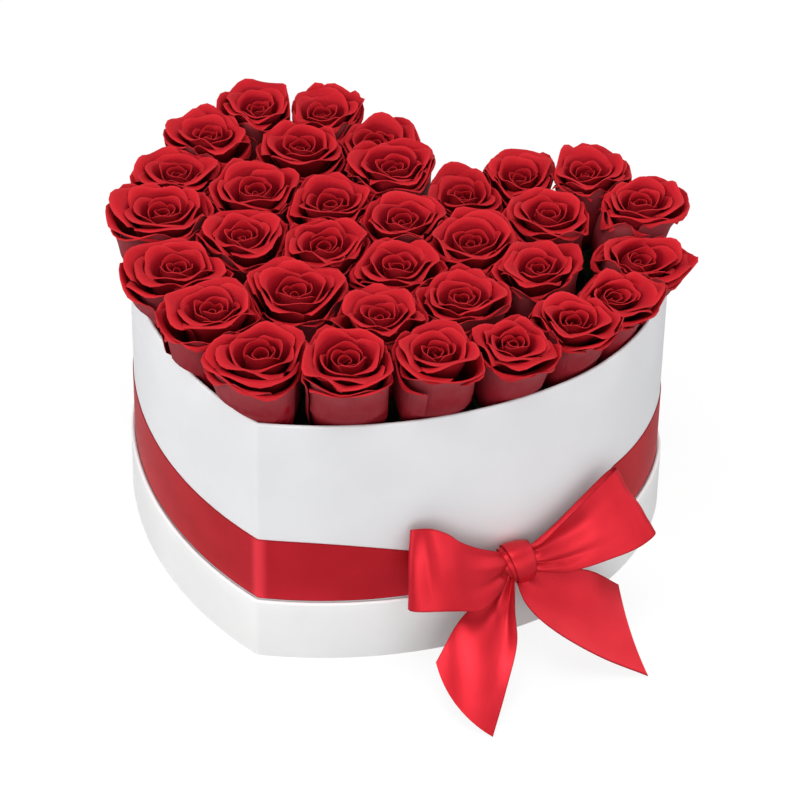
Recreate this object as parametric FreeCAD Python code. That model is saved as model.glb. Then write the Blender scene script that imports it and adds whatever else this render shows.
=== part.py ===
"""Heart-shaped flower box: a paper-wrapped board box standing in its own upturned lid, a lined
foam filling, cut roses packed level with one another, and a satin ribbon with a flat bow.

Frame: +Z up, floor at Z = 0, origin under the middle of the base, point of the heart towards -Y.
All lengths in millimetres, all angles in degrees.
"""
import FreeCAD, Part
import math
import os

V = FreeCAD.Vector
UP = V(0, 0, 1)

# Heart outline, measured at the outer face of the box wall
LOBE_HALF_SPACING = 70.0
LOBE_OVERLAP = 3.0
LOBE_RADIUS = LOBE_HALF_SPACING + LOBE_OVERLAP
SHOULDER_RADIUS = 139.0
FLANK_RADIUS = 224.0
SHOULDER_START = 14.0
SHOULDER_END = -31.5

# Paper and board
PAPER = 0.3
GLUE_LINE = 0.1
BOX_BOARD = 1.6
LID_BOARD = 1.3
BASE_BOARD = 1.8
PANEL_BOARD = 1.8
RIM_HEIGHT = 151.0
TURN_IN = 12.0
LID_DEPTH = 37.0
LID_CLEARANCE = 0.6

# Waterproof liner and foam
LINER_GAP = 0.2
LINER_FILM = 0.4
LINER_HEIGHT = 96.0
FOAM_GAP = 0.3
FOAM_HEIGHT = 85.0
FOAM_SAW_CUT = 0.4
FOAM_SPLIT_X = 0.0
FOAM_SPLIT_Y = -33.0

# Ribbon band and bow
RIBBON_WIDTH = 38.0
RIBBON_FILM = 0.5
BAND_BOTTOM = 38.6
BOW_STATION = 28.2
BOW_FILM = 0.8
KNOT_RADIUS = 12.0
KNOT_END_RADIUS = 9.0
KNOT_LENGTH = 18.0
SEAT_GAP = 0.3
GATHER_WIDTH = 14.0
GATHER_RUN = 26.0
LOOP_FOLD_RADIUS = 6.0
LOOP_ROOT_RADIUS = 3.0
LOOP_SKEW = 6.0
LEFT_LOOP_REACH = 61.0
LEFT_LOOP_RISE = 12.5
LEFT_LOOP_WIDTH_DIRECTION = V(16.0, -13.0, -31.0)
RIGHT_LOOP_REACH = 74.0
RIGHT_LOOP_RISE = 11.0
RIGHT_LOOP_WIDTH_DIRECTION = V(18.0, 10.0, -28.0)
LEFT_TAIL_TIP = (71.0, -43.0)
RIGHT_TAIL_TIP = (64.0, 53.0)
TAIL_CUT_BACK = 34.0
TAIL_CROWN = 5.0
TAIL_FLOOR_GAP = 1.0

# Roses: places along the wall are (station, rise), with the station in percent of the half
# outline from the point to the notch, and the rise of the head above the common height
WALL_INSET = 19.0
POINT_ROSE = (3.5, -3.0)
RIGHT_WALL_ROSES = ((10, 3), (20.5, 4), (30, 0), (38.5, 1), (47, -3), (56.5, -4), (67, 6),
                    (77.5, 7), (88, -2), (98, -6))
LEFT_WALL_ROSES = ((13.5, 0), (24.5, -3), (36.5, 0), (47.5, -3), (56.5, 1), (66.5, 5), (77, 1),
                   (87.5, -5), (100, 5))
# Inner roses stand in rows across the heart: (middle of row, y, pitch, arch, rise)
INNER_ROW_COUNTS = (2, 5, 4, 2)
INNER_ROWS = ((-1.0, 73.0, 147.0, 0.0, 1.0), (5.0, 24.5, 41.0, 9.0, 0.0), (0.0, -19.0, 42.0, 13.0, 0.0),
              (9.0, -54.0, 48.0, 0.0, 1.0))
HEAD_GAP = 0.8
HEAD_RADIUS_LIMIT = 24.0
HEAD_SINK = 22.0
HEAD_HEIGHT = 52.0
BUD_TIP_RADIUS = 2.0
STEM_RADIUS = 2.8
STEM_LENGTH = 85.0
STEM_HOLE_GAP = 0.3
HIP_RADIUS = 9.2
HIP_DEPTH = 12.0
SEPAL_COUNT = 5
SEPAL_LENGTH = 17.0
SEPAL_FILM = 0.8
PETALS_PER_WHORL = 5
PETAL_FILM = 1.0
PETAL_SEAT = 0.05
PETAL_SLIT = 3.0
OUTER_RIM_HEIGHT = 42.0
MIDDLE_RIM_HEIGHT = 47.0
MIDDLE_RIM_SHARE = 0.74
WAIST_SHARE = 0.93
GOLDEN_ANGLE = 137.5


# Heart outline


def on_circle(centre, radius, angle):
    return V(centre.x + radius * math.cos(angle), centre.y + radius * math.sin(angle), 0)


def half_heart():
    """Right half of the outline as (centre, radius, start, end) arcs from the point to the notch."""
    start, end = math.radians(SHOULDER_START), math.radians(SHOULDER_END)
    lobe = V(LOBE_HALF_SPACING, 0, 0)
    shoulder = on_circle(lobe, LOBE_RADIUS - SHOULDER_RADIUS, start)
    flank = on_circle(shoulder, SHOULDER_RADIUS - FLANK_RADIUS, end)
    point_y = flank.y - math.sqrt(FLANK_RADIUS**2 - flank.x**2)
    shift = V(0, -(LOBE_RADIUS + point_y) / 2, 0)
    point_angle = math.atan2(point_y - flank.y, -flank.x)
    notch_angle = math.pi - math.acos(LOBE_HALF_SPACING / LOBE_RADIUS)
    return ((flank + shift, FLANK_RADIUS, point_angle, end),
            (shoulder + shift, SHOULDER_RADIUS, end, start),
            (lobe + shift, LOBE_RADIUS, start, notch_angle))


HALF = half_heart()
HALF_LENGTH = sum(radius * (end - start) for _, radius, start, end in HALF)


def mirrored(point):
    return V(-point.x, point.y, point.z)


def arc_points(centre, radius, start, end):
    return [on_circle(centre, radius, start + (end - start) * share) for share in (0, 0.5, 1)]


def heart_wire(offset, z, bridged=False):
    """Closed outline moved outwards by offset; inwards, the notch opens into a small arc.

    A bridged outline runs straight from lobe to lobe, as a taut ribbon does.
    """
    (flank, flank_r, _, flank_end), shoulder, (lobe, lobe_r, lobe_start, lobe_end) = HALF
    radius = flank_r + offset
    point_angle = math.atan2(-math.sqrt(radius**2 - flank.x**2), -flank.x)
    notch_angle = lobe_end
    if bridged:
        notch_angle = math.pi / 2
    elif offset > 0:
        notch_angle = math.pi - math.acos(LOBE_HALF_SPACING / (lobe_r + offset))
    right = [arc_points(flank, radius, point_angle, flank_end),
             arc_points(shoulder[0], shoulder[1] + offset, shoulder[2], shoulder[3]),
             arc_points(lobe, lobe_r + offset, lobe_start, notch_angle)]
    left = [[mirrored(p) for p in reversed(points)] for points in reversed(right)]
    first, last = right[-1][-1], left[0][0]
    notch = []
    if bridged:
        notch = [[first, last]]
    elif offset < 0:
        corner = on_circle(lobe, lobe_r, lobe_end)
        notch = [[first, corner + V(0, offset, 0), last]]
    edges = []
    for points in right + notch + left:
        lifted = [p + UP * z for p in points]
        edges.append(Part.Arc(*lifted).toShape() if len(lifted) == 3 else Part.makeLine(*lifted))
    return Part.Wire(edges)


def heart_prism(offset, low, high, bridged=False):
    return Part.Face(heart_wire(offset, low, bridged)).extrude(UP * (high - low))


def heart_ring(outer, inner, low, high, bridged=False):
    hollow = heart_prism(inner, low - 1, high + 1, bridged)
    return heart_prism(outer, low, high, bridged).cut(hollow)


def wall_place(station, inset, side):
    """Point on the outline moved inwards by inset, and the outward normal's angle there."""
    along = HALF_LENGTH * station / 100
    for centre, radius, start, end in HALF:
        length = radius * (end - start)
        if along <= length or end == HALF[-1][3]:
            break
        along -= length
    angle = start + along / radius
    place = on_circle(centre, radius - inset, angle)
    if side < 0:
        return mirrored(place), math.pi - angle
    return place, angle


# Wall stack, as offsets from the outer face of the box wall
BOX_BOARD_OUTER = -PAPER - GLUE_LINE
BOX_BOARD_INNER = BOX_BOARD_OUTER - BOX_BOARD
LINING_OUTER = BOX_BOARD_INNER - GLUE_LINE
LINING_INNER = LINING_OUTER - PAPER
LINER_OUTER = LINING_INNER - LINER_GAP
LINER_INNER = LINER_OUTER - LINER_FILM
FOAM_OUTER = LINER_INNER - FOAM_GAP
LID_SKIN_OUTER = LID_CLEARANCE + PAPER
LID_BOARD_INNER = LID_SKIN_OUTER + GLUE_LINE
LID_BOARD_OUTER = LID_BOARD_INNER + LID_BOARD
LID_WRAP_INNER = LID_BOARD_OUTER + GLUE_LINE
LID_OUTER = LID_WRAP_INNER + PAPER

# Heights
PANEL_TOP = PAPER + PANEL_BOARD
BOX_FLOOR = PANEL_TOP + PAPER
BASE_TOP = BOX_FLOOR + BASE_BOARD
FOAM_BOTTOM = BASE_TOP + LINER_FILM
FOAM_TOP = FOAM_BOTTOM + FOAM_HEIGHT
HEAD_BASE = RIM_HEIGHT - HEAD_SINK


def wrap(outer, inner, board_outer, board_inner, low, high):
    """Paper strip round a wall, turned over the rim and down inside it."""
    skin = heart_ring(outer, inner, low, high)
    skin = skin.cut(heart_ring(board_outer, board_inner, low - 1, high - PAPER))
    return skin.cut(heart_prism(board_inner, low - 1, high - TURN_IN))


def lid_parts():
    board_top = LID_DEPTH - PAPER - GLUE_LINE
    return {
        "lid_panel_cover": heart_prism(LID_OUTER, 0, PAPER),
        "lid_panel_board": heart_prism(LID_BOARD_INNER - GLUE_LINE, PAPER, PANEL_TOP),
        "lid_wall_board": heart_ring(LID_BOARD_OUTER, LID_BOARD_INNER, PAPER, board_top),
        "lid_wall_wrap": wrap(LID_OUTER, LID_CLEARANCE, LID_WRAP_INNER, LID_SKIN_OUTER, PAPER,
                              LID_DEPTH),
    }


def box_parts():
    board_top = RIM_HEIGHT - PAPER - GLUE_LINE
    lining_top = RIM_HEIGHT - TURN_IN - GLUE_LINE
    return {
        "box_base_cover": heart_prism(0, PANEL_TOP, BOX_FLOOR),
        "box_base_board": heart_prism(LINING_OUTER, BOX_FLOOR, BASE_TOP),
        "box_wall_board": heart_ring(BOX_BOARD_OUTER, BOX_BOARD_INNER, BOX_FLOOR, board_top),
        "box_wall_wrap": wrap(0, LINING_INNER, -PAPER, LINING_OUTER, BOX_FLOOR, RIM_HEIGHT),
        "box_wall_lining": heart_ring(LINING_OUTER, LINING_INNER, BASE_TOP, lining_top),
    }


# Roses


def rose_places():
    """(x, y, rise) of every rose: round the wall from the point, then the inner rows."""
    station, rise = POINT_ROSE
    wall = [(station, rise, -1)]
    wall += [(station, rise, 1) for station, rise in RIGHT_WALL_ROSES]
    wall += [(station, rise, -1) for station, rise in LEFT_WALL_ROSES]
    places = []
    for station, rise, side in wall:
        place, _ = wall_place(station, WALL_INSET, side)
        places.append((place.x, place.y, rise))
    for count, (middle, y, pitch, arch, rise) in zip(INNER_ROW_COUNTS, INNER_ROWS):
        for i in range(count):
            across = 2 * i / (count - 1) - 1
            x = middle + across * pitch * (count - 1) / 2
            places.append((x, y + arch * (1 - across**2), rise))
    return places


PLACES = rose_places()


def head_radius(index):
    """Half the way to the nearest neighbour, less half the gap between two heads."""
    x, y, _ = PLACES[index]
    nearest = min(math.hypot(x - u, y - v) for i, (u, v, _) in enumerate(PLACES) if i != index)
    return min((nearest - HEAD_GAP) / 2, HEAD_RADIUS_LIMIT)


def turned(points, angle=360.0, start=0.0):
    """Solid turned about Z from a closed outline; each item is a point or an arc's middle and end."""
    edges, here = [], points[0]
    for item in points[1:] + [points[0]]:
        if isinstance(item[0], tuple):
            middle, end = item
            edges.append(Part.Arc(V(here[0], 0, here[1]), V(middle[0], 0, middle[1]),
                                  V(end[0], 0, end[1])).toShape())
            here = end
        else:
            edges.append(Part.makeLine(V(here[0], 0, here[1]), V(item[0], 0, item[1])))
            here = item
    solid = Part.Face(Part.Wire(edges)).revolve(V(0, 0, 0), UP, angle)
    solid.rotate(V(0, 0, 0), UP, start)
    return solid


def petal(root, belly, waist, rim, rim_height, start):
    """Cupped petal: outer face through root, belly and waist, then flaring to the rim."""
    low, middle = rim_height * 0.24, rim_height * 0.62
    flare = (waist + (rim - waist) * 0.36, rim_height * 0.84)
    film = PETAL_FILM
    seat = PETAL_SEAT
    outline = [(root, seat), ((belly, low), (waist, middle)), (flare, (rim, rim_height)),
               (rim - film, rim_height), ((flare[0] - film, flare[1]), (waist - film, middle)),
               ((belly - film, low), (root - film, seat))]
    sweep = 360.0 / PETALS_PER_WHORL - PETAL_SLIT
    return turned(outline, sweep, start)


def bud():
    root, belly, seat = HIP_RADIUS * 0.4, HIP_RADIUS * 0.72, PETAL_SEAT
    outline = [(0, seat), (root, seat), ((belly, HEAD_HEIGHT * 0.32), (belly * 0.98, HEAD_HEIGHT * 0.66)),
               ((belly * 0.8, HEAD_HEIGHT * 0.9), (BUD_TIP_RADIUS, HEAD_HEIGHT)), (0, HEAD_HEIGHT)]
    return turned(outline)


def stem():
    """Cut stem with the swollen hip that carries the petals; top face at Z = 0."""
    neck = -HIP_DEPTH
    outline = [(0, 0), (HIP_RADIUS, 0), ((HIP_RADIUS * 0.86, neck * 0.5), (STEM_RADIUS, neck)),
               (STEM_RADIUS, -STEM_LENGTH), (0, -STEM_LENGTH)]
    return turned(outline)


def calyx():
    """Ring of sepals turned down round the hip."""
    inner, top = HIP_RADIUS + SEAT_GAP, -SEAT_GAP
    outer, ring_depth = inner + SEPAL_FILM, 3.0
    ring = turned([(inner, top), (outer, top), (outer, -ring_depth), (inner, -ring_depth)])
    spread = 360.0 / SEPAL_COUNT
    leaf = [(inner, -ring_depth + 1), (outer, -ring_depth + 1),
            ((outer + 0.4, -SEPAL_LENGTH * 0.6), (outer + 1.4, -SEPAL_LENGTH)),
            (inner + 1.4, -SEPAL_LENGTH), ((inner + 0.4, -SEPAL_LENGTH * 0.6), (inner, -ring_depth))]
    leaves = [turned(leaf, spread * 0.6, spread * i) for i in range(SEPAL_COUNT)]
    return ring.multiFuse(leaves).removeSplitter()


def rose_parts():
    stem_solid, calyx_solid, bud_solid = stem(), calyx(), bud()
    outer_root = HIP_RADIUS - 0.5
    middle_root = outer_root - PETAL_FILM - 0.9
    step = 360.0 / PETALS_PER_WHORL
    nodes = {}
    for i, (x, y, rise) in enumerate(PLACES):
        rim = head_radius(i)
        turn = GOLDEN_ANGLE * i
        outer_waist = min(HIP_RADIUS + 6.0, rim * WAIST_SHARE)
        middle_waist = outer_waist - PETAL_FILM - 2.2
        solids = [stem_solid, calyx_solid, bud_solid]
        for k in range(PETALS_PER_WHORL):
            solids.append(petal(outer_root, outer_waist - 2.0, outer_waist, rim,
                                OUTER_RIM_HEIGHT, turn + step * k))
            solids.append(petal(middle_root, middle_waist - 1.2, middle_waist,
                                rim * MIDDLE_RIM_SHARE, MIDDLE_RIM_HEIGHT, turn + step * (k + 0.5)))
        rose = Part.makeCompound(solids)
        nodes["rose_%02d" % (i + 1)] = rose.translated(V(x, y, HEAD_BASE + rise))
    return nodes


# Liner and foam


def filling_parts():
    liner = heart_prism(LINER_OUTER, BASE_TOP, BASE_TOP + LINER_HEIGHT)
    liner = liner.cut(heart_prism(LINER_INNER, FOAM_BOTTOM, BASE_TOP + LINER_HEIGHT + 1))
    foam = heart_prism(FOAM_OUTER, FOAM_BOTTOM, FOAM_TOP)
    holes = []
    for x, y, rise in PLACES:
        tip = HEAD_BASE + rise - STEM_LENGTH
        holes.append(Part.makeCylinder(STEM_RADIUS + STEM_HOLE_GAP, FOAM_TOP - tip + 1, V(x, y, tip)))
    foam = foam.cut(Part.makeCompound(holes))
    reach = 2 * (LOBE_HALF_SPACING + LOBE_RADIUS)
    half_cut = FOAM_SAW_CUT / 2

    def block(x, y):
        corner = V(x, y, FOAM_BOTTOM - 1)
        return foam.common(Part.makeBox(reach, reach, FOAM_HEIGHT + 2, corner))

    back = FOAM_SPLIT_Y + half_cut
    return {
        "liner_tray": liner,
        "foam_left": block(FOAM_SPLIT_X - half_cut - reach, back),
        "foam_right": block(FOAM_SPLIT_X + half_cut, back),
        "foam_point": block(-reach / 2, FOAM_SPLIT_Y - half_cut - reach),
    }


# Ribbon and bow, in the bow's own frame: X out of the wall, Y along the wall to the right, Z up


def bow_placement():
    place, angle = wall_place(BOW_STATION, -GLUE_LINE - RIBBON_FILM, 1)
    return FreeCAD.Placement(place, FreeCAD.Rotation(UP, math.degrees(angle)))


KNOT = V(KNOT_RADIUS + SEAT_GAP, 0, BAND_BOTTOM + RIBBON_WIDTH / 2)


def frame_placement(origin, along, across):
    """Placement whose X runs along, and whose Y is across made square to it."""
    x = V(along).normalize()
    y = (across - x * across.dot(x)).normalize()
    z = x.cross(y)
    matrix = FreeCAD.Matrix(x.x, y.x, z.x, origin.x, x.y, y.y, z.y, origin.y, x.z, y.z, z.z, origin.z)
    return FreeCAD.Placement(matrix)


def polygon_prism(points, half_thickness):
    corners = [V(x, y, -half_thickness) for x, y in points]
    face = Part.Face(Part.makePolygon(corners + corners[:1]))
    return face.extrude(UP * 2 * half_thickness)


def teardrop(root_x, fold_x, root_radius, fold_radius, y):
    """Closed line round two unequal circles, in the plane across the ribbon at y."""
    tilt = math.asin((fold_radius - root_radius) / (fold_x - root_x))

    def at(x, radius, angle):
        return V(x + radius * math.cos(angle), y, radius * math.sin(angle))

    lean = math.pi / 2 + tilt
    root = [at(root_x, root_radius, a) for a in (lean, math.pi, -lean)]
    fold = [at(fold_x, fold_radius, a) for a in (-lean, 0, lean)]
    return Part.Wire([Part.Arc(*root).toShape(), Part.makeLine(root[2], fold[0]),
                      Part.Arc(*fold).toShape(), Part.makeLine(fold[2], root[0])])


def bow_loop(reach, width_direction):
    """Hollow loop of ribbon, gathered at the knot and longer along its lower edge."""
    length = reach.Length
    root_x = KNOT_LENGTH / 2
    half = RIBBON_WIDTH / 2

    def tube(inset):
        wires = []
        for y, skew in ((-half, -LOOP_SKEW), (half, LOOP_SKEW)):
            fold_x = length - LOOP_FOLD_RADIUS + skew
            wires.append(teardrop(root_x, fold_x, LOOP_ROOT_RADIUS - inset, LOOP_FOLD_RADIUS - inset,
                                  y + (1 if y > 0 else -1) * inset))
        return Part.makeLoft(wires, True, True)

    loop = tube(0).cut(tube(BOW_FILM))
    start, far = KNOT_LENGTH / 2, length + LOOP_SKEW + RIBBON_WIDTH
    full, gather = half + LOOP_SKEW, GATHER_WIDTH / 2
    outline = [(start, -gather), (start + GATHER_RUN, -full), (far, -full), (far, full),
               (start + GATHER_RUN, full), (start, gather)]
    loop = loop.common(polygon_prism(outline, 2 * LOOP_FOLD_RADIUS))
    loop = loop.transformed(frame_placement(KNOT, reach, width_direction).toMatrix())
    knot_room = KNOT_LENGTH / 2 + SEAT_GAP
    corner = KNOT - V(RIBBON_WIDTH, knot_room, RIBBON_WIDTH)
    return loop.cut(Part.makeBox(2 * RIBBON_WIDTH, 2 * knot_room, 2 * RIBBON_WIDTH, corner))


def bow_knot():
    half = KNOT_LENGTH / 2
    outline = [(0, -half), (KNOT_END_RADIUS, -half), ((KNOT_RADIUS, 0), (KNOT_END_RADIUS, half)),
               (0, half)]
    knot = turned(outline)
    knot.rotate(V(0, 0, 0), V(1, 0, 0), 90)
    return knot.translated(KNOT)


def bow_tail(tip, side):
    """Ribbon end falling from the knot to the floor, crowned along its length, cut on the slant."""
    half = RIBBON_WIDTH / 2
    root_y = (KNOT_LENGTH - GATHER_WIDTH / 2) / 2
    knot_sag = (KNOT_RADIUS - KNOT_END_RADIUS) * (2 * root_y / KNOT_LENGTH)**2
    start = KNOT + V(0, side * root_y, knot_sag - KNOT_RADIUS - SEAT_GAP - BOW_FILM)
    run = V(tip[0] - start.x, tip[1] - start.y, 0)
    lean = math.asin(half / run.Length)
    along_floor = V(run).normalize() * math.sqrt(run.Length**2 - half**2)
    along_floor = FreeCAD.Rotation(UP, side * math.degrees(lean)).multVec(along_floor)
    sideways = V(along_floor.y, -along_floor.x, 0).normalize() * side
    along = along_floor + UP * (TAIL_FLOOR_GAP - start.z)
    length = along.Length
    arc = [V(0, 0, 0), V(length / 2, 0, TAIL_CROWN), V(length, 0, 0)]
    under = [p - UP * BOW_FILM for p in arc]
    section = Part.Wire([Part.Arc(*arc).toShape(), Part.makeLine(arc[2], under[2]),
                         Part.Arc(*reversed(under)).toShape(), Part.makeLine(under[0], arc[0])])
    width = V(0, half + 1, 0)
    sheet = Part.Face(section).translated(-width).extrude(width * 2)
    gather = GATHER_WIDTH / 2
    outline = [(0, -gather), (GATHER_RUN, -half), (length - TAIL_CUT_BACK, -half), (length, half),
               (GATHER_RUN, half), (0, gather)]
    placement = frame_placement(start, along, sideways)
    upright = placement.Rotation.multVec(UP).z
    if upright < 0:
        sheet.rotate(V(0, 0, 0), V(1, 0, 0), 180)
    tail = sheet.common(polygon_prism(outline, length))
    return tail.transformed(placement.toMatrix())


def ribbon_parts():
    band_outer, band_top = GLUE_LINE + RIBBON_FILM, BAND_BOTTOM + RIBBON_WIDTH
    band = heart_ring(band_outer, GLUE_LINE, BAND_BOTTOM, band_top, bridged=True)
    pieces = {
        "bow_knot": bow_knot(),
        "bow_left_loop": bow_loop(V(0, -LEFT_LOOP_REACH, LEFT_LOOP_RISE), LEFT_LOOP_WIDTH_DIRECTION),
        "bow_right_loop": bow_loop(V(0, RIGHT_LOOP_REACH, RIGHT_LOOP_RISE), RIGHT_LOOP_WIDTH_DIRECTION),
        "bow_left_tail": bow_tail(LEFT_TAIL_TIP, -1),
        "bow_right_tail": bow_tail(RIGHT_TAIL_TIP, 1),
    }
    matrix = bow_placement().toMatrix()
    nodes = {name: piece.transformed(matrix) for name, piece in pieces.items()}
    nodes["ribbon_band"] = band
    return nodes


def main():
    os.makedirs("parts", exist_ok=True)
    nodes = {}
    for group in (lid_parts(), box_parts(), filling_parts(), ribbon_parts(), rose_parts()):
        nodes.update(group)
    for name, shape in nodes.items():
        volumes = [solid.Volume for solid in shape.Solids]
        print(name, len(volumes), shape.isValid(), round(min(volumes), 2), round(sum(volumes), 1))
        shape.exportStep("parts/%s.step" % name)


main()
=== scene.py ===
"""Dresses the heart-shaped flower box: paper-wrapped walls, satin ribbon and bow, and packed roses.

Shapes are worked out in millimetres and written to the meshes in metres. The frame is the part's own:
+Z up, floor at Z = 0, point of the heart towards -Y.
"""
import math

import bpy
import numpy as np
from mathutils import Matrix, Vector


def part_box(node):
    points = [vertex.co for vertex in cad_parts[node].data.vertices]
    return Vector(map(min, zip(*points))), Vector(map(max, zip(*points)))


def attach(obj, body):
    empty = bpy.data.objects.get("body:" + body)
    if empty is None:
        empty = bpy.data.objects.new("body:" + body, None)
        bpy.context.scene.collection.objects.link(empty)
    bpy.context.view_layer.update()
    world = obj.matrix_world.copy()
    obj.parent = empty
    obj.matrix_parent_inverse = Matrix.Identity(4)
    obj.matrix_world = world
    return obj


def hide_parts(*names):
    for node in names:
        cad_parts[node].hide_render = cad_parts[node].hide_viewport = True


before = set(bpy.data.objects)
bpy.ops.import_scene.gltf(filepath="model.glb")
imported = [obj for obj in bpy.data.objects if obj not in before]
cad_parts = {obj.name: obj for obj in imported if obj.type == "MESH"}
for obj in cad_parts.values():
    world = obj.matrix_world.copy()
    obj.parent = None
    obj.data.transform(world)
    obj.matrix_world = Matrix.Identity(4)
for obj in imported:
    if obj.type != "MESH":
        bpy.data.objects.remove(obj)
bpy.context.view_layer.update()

MM = 0.001

# Heart outline at the outer face of the box wall
LOBE_RADIUS = 73.0
LOBE_HALF_SPACING = 70.0
SHOULDER_RADIUS = 139.0
FLANK_RADIUS = 224.0
SHOULDER_START = math.radians(14.0)
SHOULDER_END = math.radians(-31.5)
POINT_ROUNDING = 3.5

# Walls
RIM_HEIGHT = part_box("box_wall_wrap")[1].z / MM
BOX_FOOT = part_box("box_wall_wrap")[0].z / MM
LID_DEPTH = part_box("lid_wall_wrap")[1].z / MM
LID_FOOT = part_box("lid_wall_wrap")[0].z / MM
PAPER = 0.3
TURN_IN = 12.0
BOX_INNER = -2.4
LID_INNER = 0.6
LID_OUTER = 2.7
GLUE_LINE = 0.1

# Ribbon
BAND_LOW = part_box("ribbon_band")[0].z / MM
BAND_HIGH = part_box("ribbon_band")[1].z / MM
RIBBON_FILM = 0.35
BAND_GAP = 0.12
BAND_LEVELS = 7
BAND_DIP = 30.0
BAND_REACH_TO_POINT = 118.0
BAND_REACH_TO_NOTCH = 73.0
BAND_SINK_RATE = 1.37
BAND_SAG = 1.2
BAND_LIFT = 1.5
# Reach in mm from U = 0 of the painted highlight on the satin
PAINTED_SHINE_REACH = 6.0
BOW_STATION = 0.282
LOOP_GRID = (81, 25)
TAIL_GRID = (49, 25)
KNOT_GRID = (49, 61)
KNOT_OUT = 11.2
KNOT_HEIGHT = 53.8
KNOT_RADIUS = 9.0
KNOT_START = math.radians(150)
KNOT_END = math.radians(-140)

# Roses
ROSES = sorted(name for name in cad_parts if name.startswith("rose_"))
STEM_LENGTH = 85.0
STEM_RADIUS = 2.8
HIP_RADIUS = 9.2
HIP_DEPTH = 12.0
STEM_SIDES = 16
SEPALS = 5
SEPAL_LENGTH = 18
SEPAL_FILM = 0.5
ROSE_SEED = 100
PETALS = 19
GUARDS_FROM = 0.75
CUP_ROWS = 7
LIP_ROWS = 7
PETAL_ROWS = CUP_ROWS + LIP_ROWS
PETAL_COLUMNS = 15
PETAL_FILM = 0.4
PETAL_GAP = 0.5
WALL_GAP = 0.7
RIM_OVERHANG = 17.0
RIM_FADE = 10.0
ROOM_SPREAD = 1.15
CORNER_SOFTNESS = 0.36
RIGHT_LEAN = 9.5
LEAN_NEAR_WALL = 25
LEAN_RIGHT_OF = 20
LEAN_START = 2
LEAN_RUN = 24
POINT_RISE = 0.027
GOLDEN_ANGLE = math.radians(137.5)

# How petals change from the heart of a rose (0) to the last guard (1), as stops and values
NECK_SHARE = ([0, 0.055, 0.17, 0.33, 0.39, 0.5, 0.61, 0.73, 0.77, 1],
              [0.1, 0.17, 0.27, 0.39, 0.53, 0.63, 0.72, 0.81, 0.86, 0.93])
NECK_HEIGHT = ([0, 0.12, 0.3, 0.5, 0.65, 0.73, 0.77, 1], [45.5, 46.5, 48, 50, 50, 49, 45, 42.5])
NECK_SLOPE = ([0, 0.33, 0.42, 0.73, 0.77, 1], [98, 92, 74, 64, 74, 78])
LIP_LENGTH = ([0, 0.1, 0.3, 0.6, 0.73, 0.77, 1], [1.5, 2.5, 3.4, 4.6, 5.6, 7.5, 7.5])
LIP_TURN = ([0, 0.1, 0.33, 0.42, 0.6, 0.73, 1], [6, 12, 26, 50, 68, 88, 115])
LIP_WAVE = ([0, 0.3, 1], [0.1, 0.6, 2.4])
HALF_WIDTH = ([0, 0.06, 0.2, 0.5, 0.73, 1], [2.4, 2.0, 1.6, 1.35, 1.25, 1.2])
FOOT_RADIUS = ([0, 0.73, 1], [1.2, 5.0, 8.0])
FOOT_HEIGHT = ([0, 0.5, 1], [18.0, 9.0, 0.5])
BELLY_SHARE = ([0, 0.6, 0.73, 0.77, 1], [0.12, 0.5, 0.72, 1.12, 1.16])
SPIRAL_SHIFT = ([0, 0.1, 1], [1.3, 0.8, 0.9])
# Strength of the painted highlight on petal lips and edges, from the heart of a rose outwards
PAINTED_EDGE_LIGHT = ([0, 0.33, 0.6], [0.7, 0.8, 1.0])

# Camera, as fitted to the photograph's outline
VIEW_AZIMUTH = math.radians(24.29)
VIEW_ELEVATION = math.radians(37.26)
VIEW_ROLL = math.radians(1.066)
VIEW_DISTANCE = 1877.2
VIEW_TARGET = np.array([15.34, 10.71, 75.7])
VIEW_LENS = 156.2

# Light: what the floor and the surround give as light, and the lamps as place (m), size (m) and power
FLOOR_AS_LIGHT = (0.36, 0.36, 0.36)
FLOOR_TO_CAMERA = (0.9, 0.9, 0.9)
FLOOR_GLOW = 0.86
FLOOR_REACH = 6.0
WORLD_AS_LIGHT = 0.43
LAMP_TARGET = (0.0, 0.0, 0.12)
LAMPS = {"overhead": ((0.1, -0.25, 1.6), 1.0, 15.0), "right": ((1.3, -1.15, 0.5), 1.6, 11.5),
         "left": ((-1.4, -0.9, 0.8), 1.2, 20.5), "front": ((0.6, -1.5, 0.7), 1.0, 6.5),
         "back": ((0.7, 1.3, 0.9), 1.2, 7.0), "side": ((1.7, 0.3, 0.7), 1.2, 5.0)}


# Outline of the heart


def circle_points(centre, radius, start, end, count):
    """count points on an arc, from the start angle up to but not including the end angle."""
    angle = np.linspace(start, end, count, endpoint=False)
    return np.column_stack([centre[0] + radius * np.cos(angle), centre[1] + radius * np.sin(angle)])


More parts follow.
